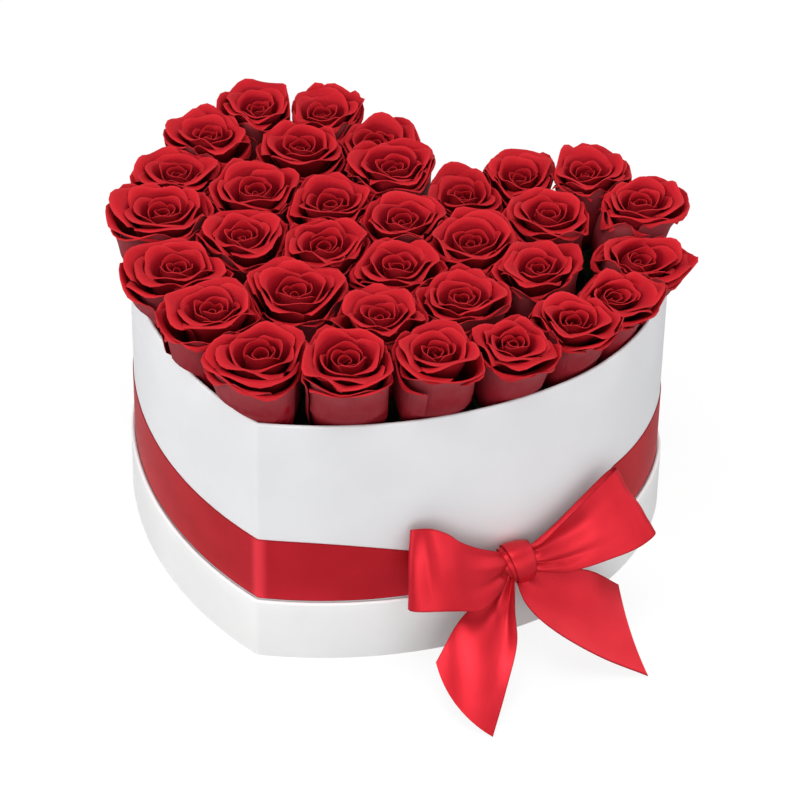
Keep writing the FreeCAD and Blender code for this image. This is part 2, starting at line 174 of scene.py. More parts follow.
def half_heart(offset, bridged, rounding):
    """Arcs of the right half from the point to the notch, as (centre, radius, start, end).

    The arcs keep their centres as the outline moves outwards by offset. The point is rounded by a
    circle on the axis that touches the flank from inside, at a distance of flank less rounding.
    """
    start, end = SHOULDER_START, SHOULDER_END
    lobe = np.array([LOBE_HALF_SPACING, 0.0])
    shoulder = lobe + (LOBE_RADIUS - SHOULDER_RADIUS) * np.array([math.cos(start), math.sin(start)])
    flank = shoulder + (SHOULDER_RADIUS - FLANK_RADIUS) * np.array([math.cos(end), math.sin(end)])
    point_y = flank[1] - math.sqrt(FLANK_RADIUS**2 - flank[0]**2)
    shift = np.array([0.0, -(LOBE_RADIUS + point_y) / 2])
    radius = FLANK_RADIUS + offset
    tip_y = flank[1] - math.sqrt((radius - rounding)**2 - flank[0]**2)
    touch = math.atan2(tip_y - flank[1], -flank[0])
    notch = math.pi - math.acos(LOBE_HALF_SPACING / (LOBE_RADIUS + max(offset, 0.0)))
    if bridged:
        notch = math.pi / 2
    return [(np.array([0.0, tip_y]) + shift, rounding, -math.pi / 2, touch),
            (flank + shift, radius, touch, end),
            (shoulder + shift, SHOULDER_RADIUS + offset, end, start),
            (lobe + shift, LOBE_RADIUS + offset, start, notch)]


def heart_outline(offset, bridged=False):
    """Closed outline, counter-clockwise from the point, with the same count of points at any offset.

    The left half mirrors the right. Between them a bridge runs straight from lobe to lobe, an inner
    offset turns round the notch's corner, and an outer one meets in it.
    """
    arcs = half_heart(offset, bridged, max(POINT_ROUNDING + offset, 0.4))
    counts = (6, 64, 40, 40) if bridged else (6, 64, 40, 72)
    right = np.vstack([circle_points(*arc, count) for arc, count in zip(arcs, counts)])
    centre, radius, _, end = arcs[-1]
    last = centre + radius * np.array([math.cos(end), math.sin(end)])
    mirror = np.array([-1.0, 1.0])
    if bridged:
        middle = last + (last * mirror - last) * np.linspace(0, 1, 24, endpoint=False)[:, None]
    elif offset < 0:
        corner = np.array([0.0, centre[1] + math.sqrt(LOBE_RADIUS**2 - LOBE_HALF_SPACING**2)])
        middle = circle_points(corner, -offset, end + math.pi, -end, 5)
    else:
        middle = np.repeat(last[None, :], 5, axis=0)
    left = (np.vstack([right[1:], last[None, :]]) * mirror)[::-1]
    return np.vstack([right, middle, left])


def wall_place(share, outward):
    """Point at a share of the half outline from the point to the notch, and the outward angle there."""
    arcs = half_heart(0.0, False, 1e-6)[1:]
    along = share * sum(radius * (end - start) for _, radius, start, end in arcs)
    for centre, radius, start, end in arcs:
        length = radius * (end - start)
        if along <= length:
            break
        along -= length
    angle = start + along / radius
    return centre + (radius + outward) * np.array([math.cos(angle), math.sin(angle)]), angle


# Meshes


def grid_faces(rows, columns, wrap_rows=False, wrap_columns=False):
    """Quads of a grid of points; a wrapped direction joins its last line to its first."""
    row = np.arange(rows if wrap_rows else rows - 1)[:, None]
    column = np.arange(columns if wrap_columns else columns - 1)[None, :]
    up, across = (row + 1) % rows, (column + 1) % columns
    corners = [row * columns + column, row * columns + across, up * columns + across, up * columns + column]
    return np.stack(np.broadcast_arrays(*corners), axis=-1).reshape(-1, 4)


def grid_border(rows, columns):
    """Indices round the edge of a grid, counter-clockwise."""
    index = np.arange(rows * columns).reshape(rows, columns)
    return np.concatenate([index[0, :-1], index[:-1, -1], index[-1, :0:-1], index[:0:-1, 0]])


def grid_normals(grid):
    """Unit normals of grids of points: the cross product of the steps across and up."""
    across = np.gradient(grid, axis=-2)
    up = np.gradient(grid, axis=-3)
    normal = np.cross(across, up)
    return normal / np.maximum(np.linalg.norm(normal, axis=-1, keepdims=True), 1e-9)


def thick_sheets(grids, film):
    """Closes sheets of shape (sheets, rows, columns, 3) into thin shells.

    Both faces lie half the film along the normal, and a strip joins them round the edge. Returns the
    points, the quads, the side of each point (1 outside, 0 inside) and a mark on points at an edge.
    """
    sheets, rows, columns, _ = grids.shape
    step = grid_normals(grids) * film / 2
    each = rows * columns
    points = np.concatenate([grids + step, grids - step], axis=1).reshape(-1, 3)
    outer = grid_faces(rows, columns)
    inner = outer[:, ::-1] + each
    edge = grid_border(rows, columns)
    ahead = np.roll(edge, -1)
    strip = np.column_stack([ahead, edge, edge + each, ahead + each])
    one = np.vstack([outer, inner, strip])
    faces = (one[None] + (np.arange(sheets) * 2 * each)[:, None, None]).reshape(-1, 4)
    side = np.tile(np.repeat([1.0, 0.0], each), sheets)
    at_edge = np.zeros(each, bool)
    at_edge[edge] = True
    return points, faces, side, np.tile(np.concatenate([at_edge, at_edge]), sheets)


def make_piece(name, points, faces, finishes, body, stands_for, uv=None, marks=None,
               finish_index=None, sharp=None, sharp_angle=None):
    """Writes points (mm) and quads to a mesh that rides on a body and stands for CAD nodes."""
    mesh = bpy.data.meshes.new(name)
    mesh.vertices.add(len(points))
    mesh.vertices.foreach_set("co", (np.asarray(points) * MM).ravel().astype(np.float32))
    mesh.loops.add(faces.size)
    mesh.loops.foreach_set("vertex_index", faces.ravel().astype(np.int32))
    mesh.polygons.add(len(faces))
    mesh.polygons.foreach_set("loop_start", np.arange(0, faces.size, 4, dtype=np.int32))
    mesh.update(calc_edges=True)
    if uv is not None:
        layer = mesh.uv_layers.new(name="UVMap")
        layer.uv.foreach_set("vector", np.asarray(uv)[faces.ravel()].astype(np.float32).ravel())
    if marks is not None:
        layer = mesh.attributes.new("petal", "FLOAT_COLOR", "POINT")
        layer.data.foreach_set("color", np.asarray(marks, np.float32).ravel())
    for finish in finishes:
        mesh.materials.append(finish)
    if finish_index is not None:
        mesh.polygons.foreach_set("material_index", finish_index.astype(np.int32))
    mesh.shade_smooth()
    if sharp is not None:
        ends = np.zeros(len(mesh.edges) * 2, np.int32)
        mesh.edges.foreach_get("vertices", ends)
        a, b = ends.reshape(-1, 2).T
        layer = mesh.attributes.new("sharp_edge", "BOOLEAN", "EDGE")
        layer.data.foreach_set("value", (sharp[a] > 0) & (sharp[a] == sharp[b]))
    if sharp_angle is not None:
        mesh.set_sharp_from_angle(angle=math.radians(sharp_angle))
    piece = bpy.data.objects.new(name, mesh)
    bpy.context.scene.collection.objects.link(piece)
    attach(piece, body)
    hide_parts(*stands_for)
    return piece


# Materials


class Value:
    """A shader socket that takes part in sums and products as a number does."""

    def __init__(self, finish, socket):
        self.finish, self.socket = finish, socket

    def maths(self, operation, first, second):
        return self.finish.node("ShaderNodeMath", {"operation": operation}, {0: first, 1: second})

    def __add__(self, other):
        return self.maths("ADD", self, other)

    def __sub__(self, other):
        return self.maths("SUBTRACT", self, other)

    def __mul__(self, other):
        return self.maths("MULTIPLY", self, other)

    def __rsub__(self, other):
        return self.maths("SUBTRACT", other, self)

    def __abs__(self):
        return self.finish.node("ShaderNodeMath", {"operation": "ABSOLUTE"}, {0: self})

    __radd__, __rmul__ = __add__, __mul__


class Finish:
    """A material being wired round one Principled shader."""

    def __init__(self, name, **constants):
        self.material = bpy.data.materials.new(name)
        self.material.use_nodes = True
        self.tree = self.material.node_tree
        self.shader = self.tree.nodes["Principled BSDF"]
        for socket, value in constants.items():
            self.shader.inputs[socket.replace("_", " ")].default_value = value

    def node(self, kind, settings, inputs, output=0):
        """Adds a node: settings first, then the value or link of each named or numbered socket."""
        node = self.tree.nodes.new(kind)
        for key, value in settings.items():
            if key == "stops":
                ramp = node.color_ramp
                while len(ramp.elements) < len(value):
                    ramp.elements.new(1.0)
                for element, (place, colour) in zip(ramp.elements, value):
                    element.position, element.color = place, (*colour, 1.0)
            else:
                setattr(node, key, value)
        for key, value in inputs.items():
            if isinstance(value, Value):
                self.tree.links.new(value.socket, node.inputs[key])
            else:
                node.inputs[key].default_value = value
        return Value(self, node.outputs[output])

    def parts(self, kind, value):
        """Outputs of a node that takes a vector or a colour apart."""
        node = self.tree.nodes.new(kind)
        self.tree.links.new(value.socket, node.inputs[0])
        return [Value(self, socket) for socket in node.outputs]

    def place(self):
        """Place on the piece, in metres."""
        return self.node("ShaderNodeTexCoord", {}, {}, "Object")

    def across(self):
        """Place on the flat sheet: U and V."""
        return self.node("ShaderNodeTexCoord", {}, {}, "UV")

    def stretched(self, vector, scale):
        """Vector with each of its parts times its own scale."""
        return self.node("ShaderNodeVectorMath", {"operation": "MULTIPLY"}, {0: vector, 1: scale})

    def noise(self, vector, scale, detail):
        """Cloudy noise about 0.5."""
        return self.node("ShaderNodeTexNoise", {}, {"Vector": vector, "Scale": scale, "Detail": detail})

    def ramp(self, value, stops):
        """Colour read from stops of (value, colour)."""
        return self.node("ShaderNodeValToRGB", {"stops": stops}, {"Fac": value})

    def fade(self, value, low, high):
        """0 below low, 1 above high, smooth between."""
        inputs = {"Value": value, "From Min": low, "From Max": high}
        return self.node("ShaderNodeMapRange", {"interpolation_type": "SMOOTHSTEP"}, inputs)

    def mix(self, share, first, second):
        """first * (1 - share) + second * share, for colours."""
        first = first if isinstance(first, Value) else (*first, 1.0)
        second = second if isinstance(second, Value) else (*second, 1.0)
        return self.node("ShaderNodeMix", {"data_type": "RGBA"}, {0: share, 6: first, 7: second}, 2)

    def bump(self, height, strength, distance):
        """Normal tilted by the slope of a height."""
        inputs = {"Height": height, "Strength": strength, "Distance": distance}
        return self.node("ShaderNodeBump", {}, inputs)

    def use(self, socket, value):
        """Feeds a value to a socket of the shader."""
        self.tree.links.new(value.socket, self.shader.inputs[socket])


def wrap_paper(name, tone):
    """White wrap paper: faint clouding in the tone, and a fine felt-like bump of two noises."""
    finish = Finish(name, Roughness=0.58, Specular_IOR_Level=0.35)
    place = finish.place()
    cloud = finish.noise(place, 18.0, 3.0)
    fibre = finish.noise(place, 900.0, 2.0)
    felt = finish.noise(place, 210.0, 3.0)
    shade = tuple(0.955 * c for c in tone)
    finish.use("Base Color", finish.mix(finish.fade(cloud, 0.35, 0.65), shade, tone))
    finish.use("Roughness", 0.52 + 0.12 * felt)
    finish.use("Normal", finish.bump(0.6 * fibre + felt, 0.12, 0.0003))
    return finish.material


def grey_board():
    """Uncoated board: grey-brown pulp with fibre flecks."""
    finish = Finish("grey_board", Roughness=0.85, Specular_IOR_Level=0.2)
    place = finish.place()
    pulp = finish.noise(place, 60.0, 4.0)
    fleck = finish.noise(finish.stretched(place, (400.0, 400.0, 1500.0)), 1.0, 2.0)
    finish.use("Base Color", finish.ramp(0.6 * pulp + 0.4 * fleck, [
        (0.3, (0.30, 0.28, 0.25)), (0.5, (0.44, 0.42, 0.38)), (0.7, (0.54, 0.52, 0.48))]))
    finish.use("Normal", finish.bump(fleck, 0.25, 0.0002))
    return finish.material


def clear_film():
    """Clear liner film: pale, glossy, with slack ripples."""
    finish = Finish("liner_film", Base_Color=(0.86, 0.89, 0.9, 1.0), Roughness=0.12, Alpha=0.45)
    ripple = finish.noise(finish.stretched(finish.place(), (30.0, 30.0, 7.0)), 1.0, 2.0)
    finish.use("Normal", finish.bump(ripple, 0.4, 0.003))
    return finish.material


def foam_dark_as_shade():
    """Floral foam: dark green cells with paler dust where it was cut; the dark green is painted shade for
    the gaps between the roses.
    """
    finish = Finish("floral_foam", Roughness=0.9, Specular_IOR_Level=0.25)
    place = finish.place()
    cells = finish.node("ShaderNodeTexVoronoi", {}, {"Vector": place, "Scale": 900.0}, "Distance")
    cloud = finish.noise(place, 35.0, 4.0)
    # Dark green as painted shade in the gaps between the roses
    finish.use("Base Color", finish.ramp(0.55 * cloud + 0.6 * cells, [
        (0.25, (0.004, 0.013, 0.006)), (0.5, (0.011, 0.034, 0.015)), (0.75, (0.03, 0.075, 0.035))]))
    finish.use("Normal", finish.bump(cells, 0.6, 0.0006))
    return finish.material


def red_satin():
    """Satin ribbon: warp floats as fine lines along the length, a woven selvedge along both edges, darkened
    as painted edge shade.

    Near U = 0, where the band is drawn over the point, the colour is lightened towards bright red as a
    painted highlight.
    """
    finish = Finish("satin_ribbon", Metallic=0.45, Specular_IOR_Level=0.5,
                    Specular_Tint=(1.0, 0.3, 0.33, 1.0))
    across = finish.across()
    along, width, _ = finish.parts("ShaderNodeSeparateXYZ", across)
    # Painted highlight: 1 at U = 0, where the band is drawn over the point, fading out within the shine
    # reach
    bent = 1.0 - finish.fade(abs(along), 0.5, PAINTED_SHINE_REACH)
    edge = abs(width - 0.5) * 2.0
    selvedge_and_edge_shade = finish.fade(edge, 0.955, 0.985)
    floats = finish.noise(finish.stretched(across, (0.06, 190.0, 1.0)), 1.0, 2.0)
    cloud = finish.noise(finish.place(), 30.0, 2.0)
    tone = finish.mix(finish.fade(cloud, 0.3, 0.7), (0.47, 0.011, 0.02), (0.55, 0.016, 0.028))
    # Mixes the painted highlight in, up to 80%, towards bright red
    tone = finish.mix(bent * 0.8, tone, (0.95, 0.05, 0.075))
    # Painted edge shade: the selvedge is mixed 55% towards dark red
    finish.use("Base Color", finish.mix(selvedge_and_edge_shade * 0.55, tone, (0.2, 0.004, 0.01)))
    finish.use("Roughness", 0.29 + 0.1 * floats + 0.2 * selvedge_and_edge_shade)
    finish.use("Normal", finish.bump(floats - 0.8 * selvedge_and_edge_shade, 0.16, 0.0004))
    return finish.material


def velvet_petal():
    """Rose petal: painted shade deep at the foot, bright above, veined; the outside dull and dusty near the
    rim.

    The point colour holds the side (0 inside, 0.5 outside, 1 outside of a guard petal), the height up
    the petal for the painted shade, the petal's own tone (random, and darker towards the heart of the rose
    as painted shade) and the nearness to the edge for a painted highlight.
    """
    finish = Finish("rose_petal", Specular_IOR_Level=0.15, Specular_Tint=(1.0, 0.45, 0.45, 1.0))
    colour = finish.node("ShaderNodeAttribute", {"attribute_name": "petal"}, {}, "Color")
    alpha = finish.node("ShaderNodeAttribute", {"attribute_name": "petal"}, {}, "Alpha")
    side, height, tone = finish.parts("ShaderNodeSeparateColor", colour)
    blotch = finish.noise(finish.place(), 110.0, 3.0)
    vein = finish.noise(finish.stretched(finish.across(), (46.0, 3.0, 1.0)), 1.0, 3.0)
    # Painted shade: dark at the foot of each petal and bright above, with the petal's tone and random
    # blotches mixed in
    depth = 0.8 * height + 0.14 * tone + 0.12 * blotch
    inside = finish.ramp(depth, [
        (0.3, (0.11, 0.0018, 0.007)), (0.5, (0.21, 0.003, 0.009)), (0.62, (0.29, 0.004, 0.011)),
        (0.76, (0.36, 0.006, 0.012)), (0.98, (0.45, 0.01, 0.017))])
    outside = finish.ramp(depth, [
        (0.3, (0.1, 0.002, 0.007)), (0.52, (0.2, 0.004, 0.01)), (0.72, (0.3, 0.008, 0.014)),
        (1.0, (0.4, 0.014, 0.021))])
    dusty = finish.ramp(0.85 * height + 0.2 * blotch, [
        (0.2, (0.14, 0.005, 0.01)), (0.45, (0.24, 0.012, 0.02)), (0.66, (0.29, 0.045, 0.055)),
        (1.0, (0.4, 0.02, 0.026))])
    face = finish.mix(finish.fade(side, 0.05, 0.45), inside, outside)
    face = finish.mix(finish.fade(side, 0.55, 0.95), face, dusty)
    # Painted highlight: lips and edges mixed up to 30% towards bright red
    finish.use("Base Color", finish.mix(finish.fade(alpha, 0.55, 1.0) * 0.3, face, (0.54, 0.032, 0.038)))
    finish.use("Roughness", 0.5 + 0.2 * vein)
    finish.use("Normal", finish.bump(vein + 0.5 * blotch, 0.3, 0.0006))
    return finish.material


def green_stem():
    """Stem and sepals: yellow-green with darker streaks."""
    finish = Finish("rose_stem", Roughness=0.55)
    streak = finish.noise(finish.stretched(finish.place(), (260.0, 260.0, 25.0)), 1.0, 3.0)
    finish.use("Base Color", finish.ramp(streak, [
        (0.3, (0.014, 0.036, 0.01)), (0.55, (0.032, 0.07, 0.018)), (0.75, (0.065, 0.105, 0.03))]))
    finish.use("Normal", finish.bump(streak, 0.3, 0.0004))
    return finish.material


WHITE_WRAP = wrap_paper("cover_paper", (0.70, 0.705, 0.722))
# Same white paper as the box wall, in a lighter tone: the difference is painted light that makes the lid
# brighter than the wall
LID_WRAP = wrap_paper("lid_paper", (0.78, 0.78, 0.78))
LINING = wrap_paper("lining_paper", (0.74, 0.74, 0.73))
BOARD = grey_board()
FILM = clear_film()
FOAM = foam_dark_as_shade()
SATIN = red_satin()
PETAL = velvet_petal()
STEM = green_stem()


def finish_cad_nodes():
    """Gives the CAD nodes that stay in view or under it their own materials."""
    finishes = {"lid_panel_cover": LID_WRAP, "box_base_cover": WHITE_WRAP, "box_wall_lining": LINING,
                "liner_tray": FILM, "foam_left": FOAM, "foam_right": FOAM, "foam_point": FOAM,
                "lid_panel_board": BOARD, "box_base_board": BOARD}
    for name, finish in finishes.items():
        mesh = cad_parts[name].data
        mesh.materials.clear()
        mesh.materials.append(finish)


# Paper wraps


def rim_profile(outer, inner, foot, top):
    """Closed section of a wrap: up the outside, over a rounded rim, down inside and back within it."""
    radius = abs(outer - inner) / 2
    middle = (outer + inner) / 2
    turn = np.linspace(0, math.pi, 9)
    sign = 1 if outer > inner else -1

    def arch(r):
        return np.column_stack([middle + sign * r * np.cos(turn), top - radius + r * np.sin(turn)])

    levels = np.linspace(0, 1, 6)[:-1, None]
    outside = np.array([[outer, foot]]) + levels * np.array([[0, top - radius - foot]])
    over = arch(radius)
    hem = np.array([[inner, top - TURN_IN], [inner + sign * PAPER, top - TURN_IN]])
    back = arch(radius - PAPER)[::-1]
    return np.vstack([outside, over, hem, back, [[outer - sign * PAPER, foot]]])


def swept_wrap(name, profile, finish, body):
    """Section carried round the heart: each of its points follows the outline at its own offset."""

    def ring(offset, z):
        outline = heart_outline(offset)
        return np.column_stack([outline, np.full(len(outline), z)])

    grid = np.stack([ring(offset, z) for offset, z in profile])
    faces = grid_faces(grid.shape[0], grid.shape[1], True, True)
    return make_piece(name, grid.reshape(-1, 3), faces, [finish], body, [name], sharp_angle=50)


def swept_board(name, outer, inner, body):
    """Upright board round the heart, as high as its CAD node, with the wrap's rounded point."""
    foot, top = (corner.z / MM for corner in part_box(name))
    swept_wrap(name, [(outer, foot), (outer, top), (inner, top), (inner, foot)], BOARD, body)


def add_wraps():
    """Boards of both walls, each a glue line inside its wrap, and the wraps."""
    under = PAPER + GLUE_LINE
    swept_board("box_wall_board", -under, BOX_INNER + under, "box")
    swept_board("lid_wall_board", LID_OUTER - under, LID_INNER + under, "lid")
    swept_wrap("box_wall_wrap", rim_profile(-0.02, BOX_INNER, BOX_FOOT, RIM_HEIGHT), WHITE_WRAP,
               "box")
    swept_wrap("lid_wall_wrap", rim_profile(LID_OUTER, LID_INNER, LID_FOOT, LID_DEPTH), LID_WRAP,
               "lid")


# Ribbon band and bow


def smooth_line(points, share):
    """Catmull-Rom curve through points, read at shares of its run from 0 to 1."""
    points = np.asarray(points, float)
    ends = np.vstack([2 * points[0] - points[1], points, 2 * points[-1] - points[-2]])
    place = np.clip(share, 0, 1) * (len(points) - 1)
    index = np.minimum(place.astype(int), len(points) - 2)
    t = (place - index)[:, None]
    a, b, c, d = (ends[index + i] for i in range(4))
    return 0.5 * (2 * b + (c - a) * t + (2 * a - 5 * b + 4 * c - d) * t**2
                  + (3 * b - a - 3 * c + d) * t**3)


def bow_frame():
    """Origin on the band's outer face and axes of the bow: outwards, along the wall, up."""
    place, angle = wall_place(BOW_STATION, BAND_GAP + RIBBON_FILM)
    outward = np.array([math.cos(angle), math.sin(angle), 0.0])
    along = np.array([-math.sin(angle), math.cos(angle), 0.0])
    return np.array([*place, 0.0]), np.stack([outward, along, [0.0, 0.0, 1.0]])


def ribbon_between(low_edge, high_edge, size):
    """Ribbon spanned between two edge curves: rows run along its length and columns across it."""
    rows, columns = size
    share = np.linspace(0, 1, rows)
    width = np.linspace(0, 1, columns)[None, :, None]
    low, high = smooth_line(low_edge, share)[:, None, :], smooth_line(high_edge, share)[:, None, :]
    return low + (high - low) * width


def creased(grid, creases, swell, looped):
    """Moves a ribbon along its normal by creases from the knot and by a swell along its length.

    A crease is depth * exp(-((w - middle) / breadth)^2) * exp(-(s / run)^2), with w across the ribbon
    and s the share of the way from the knot. The swell is height * sin(pi w) * sin(pi waves s + start).
    """
    rows, columns = grid.shape[:2]
    s = np.linspace(0, 1, rows)[:, None]
    if looped:
        s = 1 - np.abs(1 - 2 * s)
    w = np.linspace(0, 1, columns)[None, :]
    lift = 0 * s * w
    for middle, breadth, depth, run in creases:
        lift = lift + depth * np.exp(-((w - middle) / breadth)**2) * np.exp(-(s / run)**2)
    height, waves, start = swell
    lift = lift + height * np.sin(np.pi * w) * np.sin(np.pi * waves * s + start)
    return grid + grid_normals(grid) * lift[..., None]


def slanted(grid, bow):
    """Bends the free end: its rows move along the ribbon by bow * 4 w (1 - w) * s^5."""
    s = np.linspace(0, 1, grid.shape[0])[:, None, None]
    w = np.linspace(0, 1, grid.shape[1])[None, :, None]
    ahead = np.gradient(grid, axis=0)
    ahead = ahead / np.linalg.norm(ahead, axis=-1, keepdims=True)
    return grid + ahead * bow * 4 * w * (1 - w) * s**5


def run_length(line):
    """Length of a line of points: the sum of its steps."""
    return np.linalg.norm(np.diff(line, axis=0), axis=1).sum()


def ribbon_piece(name, grid):
    """Closes a ribbon surface into a thin sheet, with U along the length in mm and V across it.
    """
    origin, axes = bow_frame()
    points, faces, side, edge = thick_sheets((grid @ axes + origin)[None], RIBBON_FILM)
    rows, columns = grid.shape[:2]
    edges = [run_length(grid[:, 0]), run_length(grid[:, -1])]
    u, v = np.meshgrid(np.linspace(0, max(edges), rows), np.linspace(0, 1, columns), indexing="ij")
    uv = np.tile(np.column_stack([u.ravel(), v.ravel()]), (2, 1))
    piece = make_piece(name, points, faces, [SATIN], "box", [name], uv=uv,
                       sharp=np.where(edge, side + 1, 0))


# Edges of the bow as (outwards, along the wall, up) from the knot
LEFT_LOOP_HIGH = [(13, -5, 65), (16, -14, 71), (15, -23.5, 75.7), (13, -32, 81), (10, -38, 86.2),
                  (6.5, -45.4, 89.4), (2, -51.2, 88), (-1.5, -53.5, 85.5), (-3.2, -51, 82),
                  (-2, -42, 76), (2, -25, 66), (8, -5, 58)]
LEFT_LOOP_LOW = [(15, -4, 51), (21, -11, 48), (25.5, -20, 45), (27, -27, 43.4), (26, -36, 46),
                 (24, -46, 47.8), (20.5, -57, 48.6), (16.5, -61.8, 48.2), (12, -59.5, 47.2),
                 (9, -46, 47), (8, -25, 46), (9, -5, 50)]
RIGHT_LOOP_HIGH = [(13, 5, 63), (16.5, 13, 66.8), (13, 25.7, 71.9), (10.5, 36, 77), (8, 45.5, 82.3),
                   (4, 58, 87.2), (1, 64.5, 88), (-3, 66, 86), (-5.5, 62, 82), (-2.5, 46, 73),
                   (3, 26, 64), (8, 5, 57)]
RIGHT_LOOP_LOW = [(15, 5, 52), (20, 14, 50.5), (21.5, 26, 47), (23.5, 38, 48), (25, 48, 49.9),
                  (27, 62, 53.2), (26.3, 71.5, 55.7), (23.5, 77.5, 57), (19, 76, 55.5), (14, 60, 50),
                  (10, 32, 46), (9, 5, 49)]
LEFT_TAIL_OUTER = [(12, -6, 52), (15.5, -19, 42), (21, -36, 35), (29, -52.5, 19.5)]
LEFT_TAIL_INNER = [(14, 0, 50), (27, -6.3, 37), (42, -12.5, 27.2), (58, -26.5, 13.7), (73.5, -41.5, 0.6)]
RIGHT_TAIL_OUTER = [(13, 3, 49), (16, 22, 47), (16.5, 43, 38.5), (15.5, 61.8, 21.3)]
RIGHT_TAIL_INNER = [(14, -1, 50), (29, -0.5, 39.9), (43, 9, 29.7), (56, 29.4, 14.7), (66, 53.3, 0.6)]
# Section of the knot's ribbon: (across, out from the knot), doubled under itself towards the left
KNOT_SECTION = [(9, 0.6), (4, 1.5), (-1, 1.7), (-5, 1.3), (-3, 0.6), (0, 0.5), (-4, 0.3), (-7.6, -0.1),
                (-6, -0.7), (-3.5, -0.8), (-7, -1.1), (-10, -1.6)]


def add_band():
    """Strip round the box and straight across the notch, a film thick, that narrows into the knot.

    Towards the knot the upper edge sinks as BAND_DIP * near^2 from the point's side and evenly from the
    other, where near is 1 - distance / reach, and the lower edge rises as near^3. U is 0 at the point.
    """
    inner, outer = heart_outline(BAND_GAP, True), heart_outline(BAND_GAP + RIBBON_FILM, True)
    step = np.linalg.norm(np.diff(outer, axis=0, append=outer[:1]), axis=1)
    length = step.sum()
    along = np.concatenate([[0.0], np.cumsum(step)[:-1]])

    def either_way(run):
        return (run + length / 2) % length - length / 2

    knot, _ = wall_place(BOW_STATION, 0.0)
    away = either_way(along - along[np.argmin(np.linalg.norm(outer - knot, axis=1))])
    near = np.clip(1 - np.abs(away) / np.where(away < 0, BAND_REACH_TO_POINT, BAND_REACH_TO_NOTCH), 0, 1)
    top = BAND_HIGH - BAND_DIP * np.where(away < 0, near**2, np.minimum(BAND_SINK_RATE * near, 1))
    bottom = BAND_LOW - BAND_SAG + BAND_LIFT * near**3
    share = np.linspace(0, 1, BAND_LEVELS)[:, None]
    levels = bottom[None, :] + (top - bottom)[None, :] * share
    front = np.stack([np.column_stack([outer, z]) for z in levels])
    back = np.stack([np.column_stack([inner, z]) for z in levels[::-1]])
    grid = np.concatenate([front, back])
    across = np.concatenate([share, share[::-1]])
    uv = np.stack(np.broadcast_arrays(either_way(along)[None, :], across), axis=-1).reshape(-1, 2)
    faces = grid_faces(grid.shape[0], grid.shape[1], True, True)
    band = make_piece("ribbon_band", grid.reshape(-1, 3), faces, [SATIN], "box", ["ribbon_band"],
                      uv=uv, sharp_angle=50)


def add_bow():
    """Loops out and back between their edge curves, tails cut on the slant, and the knot over them."""
    left = ribbon_between(LEFT_LOOP_LOW, LEFT_LOOP_HIGH, LOOP_GRID)
    left = creased(left, [(0.3, 0.1, -2.6, 0.35), (0.62, 0.1, 1.3, 0.4), (0.85, 0.08, -1.0, 0.35)],
                   (1.2, 3.0, 0.4), True)
    ribbon_piece("bow_left_loop", left)
    right = ribbon_between(RIGHT_LOOP_HIGH, RIGHT_LOOP_LOW, LOOP_GRID)
    right = creased(right, [(0.3, 0.2, -4.6, 0.7), (0.74, 0.07, -3.2, 0.42), (0.9, 0.08, 1.2, 0.4)],
                    (1.2, 2.0, 2.6), True)
    ribbon_piece("bow_right_loop", right)
    left = slanted(ribbon_between(LEFT_TAIL_OUTER, LEFT_TAIL_INNER, TAIL_GRID), 6.0)
    left = creased(left, [(0.45, 0.16, -3.0, 0.5), (0.8, 0.1, 1.6, 0.5)], (4.5, 1.7, -0.5), False)
    ribbon_piece("bow_left_tail", left)
    right = slanted(ribbon_between(RIGHT_TAIL_INNER, RIGHT_TAIL_OUTER, TAIL_GRID), -2.5)
    right = creased(right, [(0.5, 0.18, -1.8, 0.35)], (4.0, 1.0, 0.0), False)
    ribbon_piece("bow_right_tail", right)
    add_knot()


def add_knot():
    """Ribbon wrapped over the root of the loops, doubled under itself and drawn together below.

    Point = centre + (radius + out) * (cos a, sin a) in the plane across the bow, with a from behind the
    top to behind the bottom, and across * taper(a) along the bow, where the taper falls towards the
    bottom.
    """
    turns, stations = KNOT_GRID
    turn = np.linspace(KNOT_START, KNOT_END, turns)[:, None]
    across, out = smooth_line(KNOT_SECTION, np.linspace(0, 1, stations)).T[:, None, :]
    taper = 0.78 + 0.24 * np.sin(turn)
    radius = KNOT_RADIUS + 0.6 * np.sin(turn)
    lean = 1.8 - 1.6 * np.sin(turn)
    grid = np.stack([KNOT_OUT + (radius + out) * np.cos(turn), lean + across * taper,
                     KNOT_HEIGHT + 1.08 * (radius + out) * np.sin(turn)], axis=-1)
    ribbon_piece("bow_knot", grid)


# Roses


def ray_lengths(origin, outline, angles):
    """Distance from a point to a closed outline along each angle, by crossing every side of it.

    A side a-b is crossed where origin + s * d = a + t * (b - a), with s above 0 and t from 0 to 1.
    """
    a, b = outline, np.roll(outline, -1, axis=0)
    d = np.column_stack([np.cos(angles), np.sin(angles)])[:, None, :]
    side, start = (b - a)[None], (a - origin)[None]
    det = d[..., 0] * side[..., 1] - d[..., 1] * side[..., 0]
    det = np.where(np.abs(det) < 1e-9, 1e-9, det)
    s = (start[..., 0] * side[..., 1] - start[..., 1] * side[..., 0]) / det
    t = (start[..., 0] * d[..., 1] - start[..., 1] * d[..., 0]) / det
    return np.where((s > 0) & (t >= 0) & (t <= 1), s, 1e3).min(axis=1)


